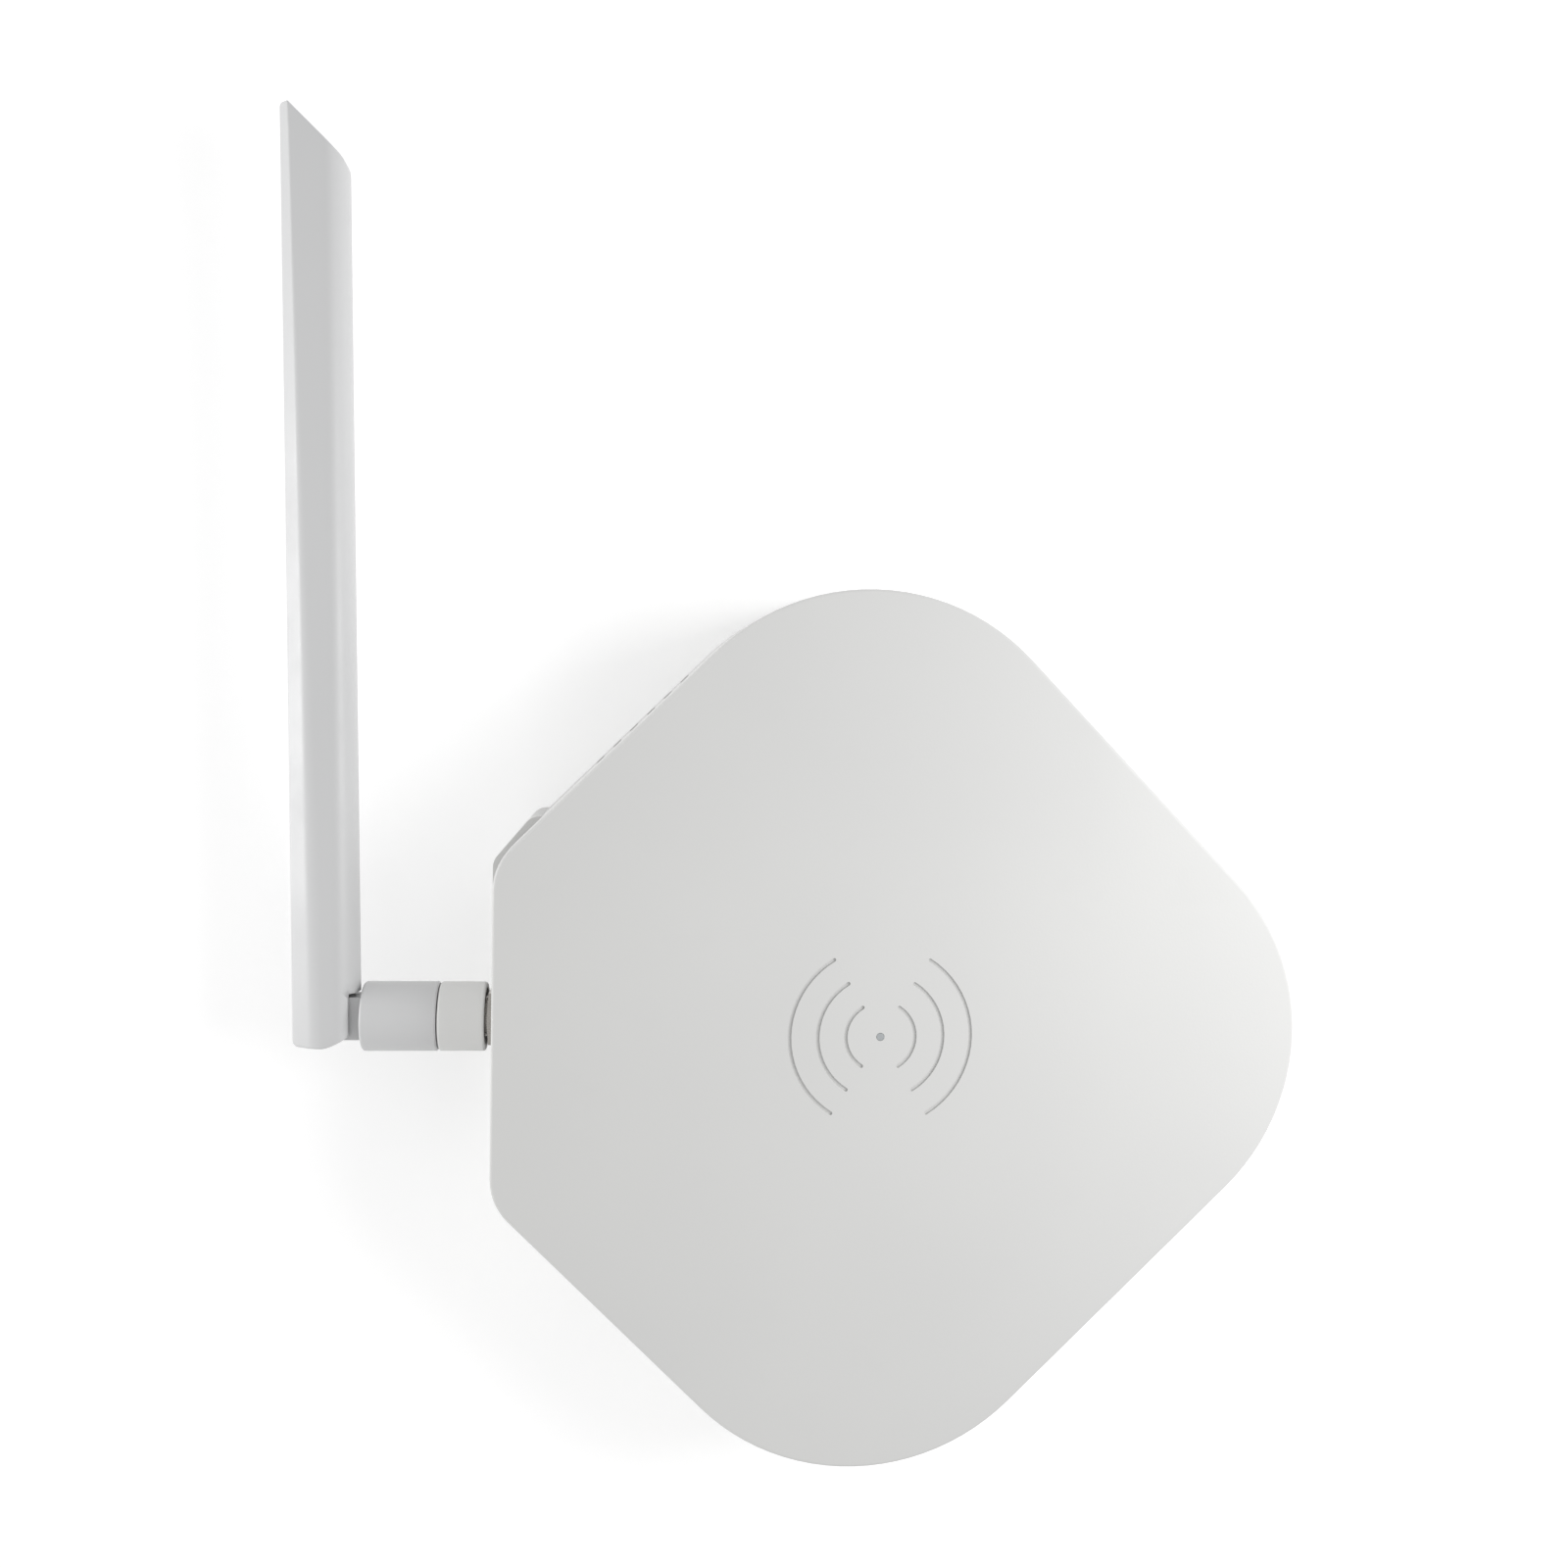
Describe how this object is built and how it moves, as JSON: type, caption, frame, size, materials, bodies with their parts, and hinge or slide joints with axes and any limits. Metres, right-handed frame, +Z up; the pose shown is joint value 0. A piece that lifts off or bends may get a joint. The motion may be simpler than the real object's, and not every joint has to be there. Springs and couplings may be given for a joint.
{
  "type": "wireless router",
  "caption": "Low white wireless router: a rounded square on its corner with one corner cut off flat for the ports, and a folding paddle antenna on that side.",
  "frame": {"origin": "middle of the square housing, on the surface that it stands on", "axes": "+Z up; -X towards the port side and its antenna; +Y the way the folded antenna points"},
  "size_m": [0.1537, 0.2004, 0.0275],
  "materials": {
    "cover_plastic": "fine matte moulding",
    "case_plastic": "fine matte moulding",
    "antenna_plastic": "smooth satin moulding",
    "soft_rubber": "soft matte rubber",
    "label_paper": "blank matte label",
    "screw_steel": "zinc-plated steel",
    "tin_plate": "tinned sheet",
    "nickel": "nickel plating",
    "gold": "gold plating",
    "brass": "drawn brass",
    "aluminium": "extruded, clear",
    "board": "lacquered circuit board",
    "chip_black": "moulded epoxy",
    "port_black": "moulded nylon",
    "lead_jacket": "extruded jacket",
    "white_insulator": "white fluoropolymer",
    "thermal_grey": "soft silicone pad",
    "foam": "closed-cell foam",
    "light_pipe": "clear acrylic",
    "led": "moulded diode"
  },
  "bodies": {
    "housing": {"top_cover": "cover_plastic", "bottom_case": "case_plastic", "base_plate": "case_plastic", "rubber_foot": "soft_rubber", "rating_label": "label_paper", "case_screws": "screw_steel", "board_screws": "screw_steel", "status_light_pipe": "light_pipe", "status_led": "led", "main_board": "board", "processor": "chip_black", "thermal_pad": "thermal_grey", "heat_sink": "aluminium", "memory_chip": "chip_black", "flash_chip": "chip_black", "radio_shield": "tin_plate", "radio_chip": "chip_black", "crystal": "tin_plate", "network_transformer": "chip_black", "power_inductor": "chip_black", "power_capacitors": "aluminium", "internal_antenna": "tin_plate", "ethernet_shell": "tin_plate", "ethernet_insulator": "port_black", "ethernet_contacts": "gold", "usb_inlet": "nickel", "usb_tongue": "port_black", "reset_switch": "chip_black", "antenna_jack": "nickel", "jack_core": "white_insulator", "jack_nut": "nickel", "jack_washer": "nickel", "pigtail": "lead_jacket", "pigtail_plug": "gold", "coupling_nut": "nickel", "antenna_plug": "nickel", "antenna_collar": "antenna_plastic"},
    "antenna_base": {"antenna_sleeve": "antenna_plastic", "base_lead": "lead_jacket", "hinge_lead": "lead_jacket"},
    "antenna_blade": {"antenna_blade": "antenna_plastic", "hinge_pins": "screw_steel", "blade_lead": "lead_jacket", "radiator_tube": "brass", "radiator_rod": "brass", "foam_spacers": "foam"},
    "reset_button": {"reset_button": "port_black"}
  },
  "joints": [
    {"name": "antenna_swivel", "type": "hinge", "parent": "housing", "child": "antenna_base", "pos_m": [-0.0664, 0, 0.01375], "axis": [1, 0, 0], "range_deg": [-180, 180]},
    {"name": "antenna_tilt", "type": "hinge", "parent": "antenna_base", "child": "antenna_blade", "pos_m": [-0.08135, 0, 0.01375], "axis": [0, 0, 1], "range_deg": [-0.75, 89.25], "deforming": ["hinge_lead"]},
    {"name": "reset_button_press", "type": "slide", "parent": "housing", "child": "reset_button", "axis": [1, 0, 0], "range_m": [0, 0.0005], "stiffness_N_per_m": 800, "springref_m": -0.0003}
  ]
}
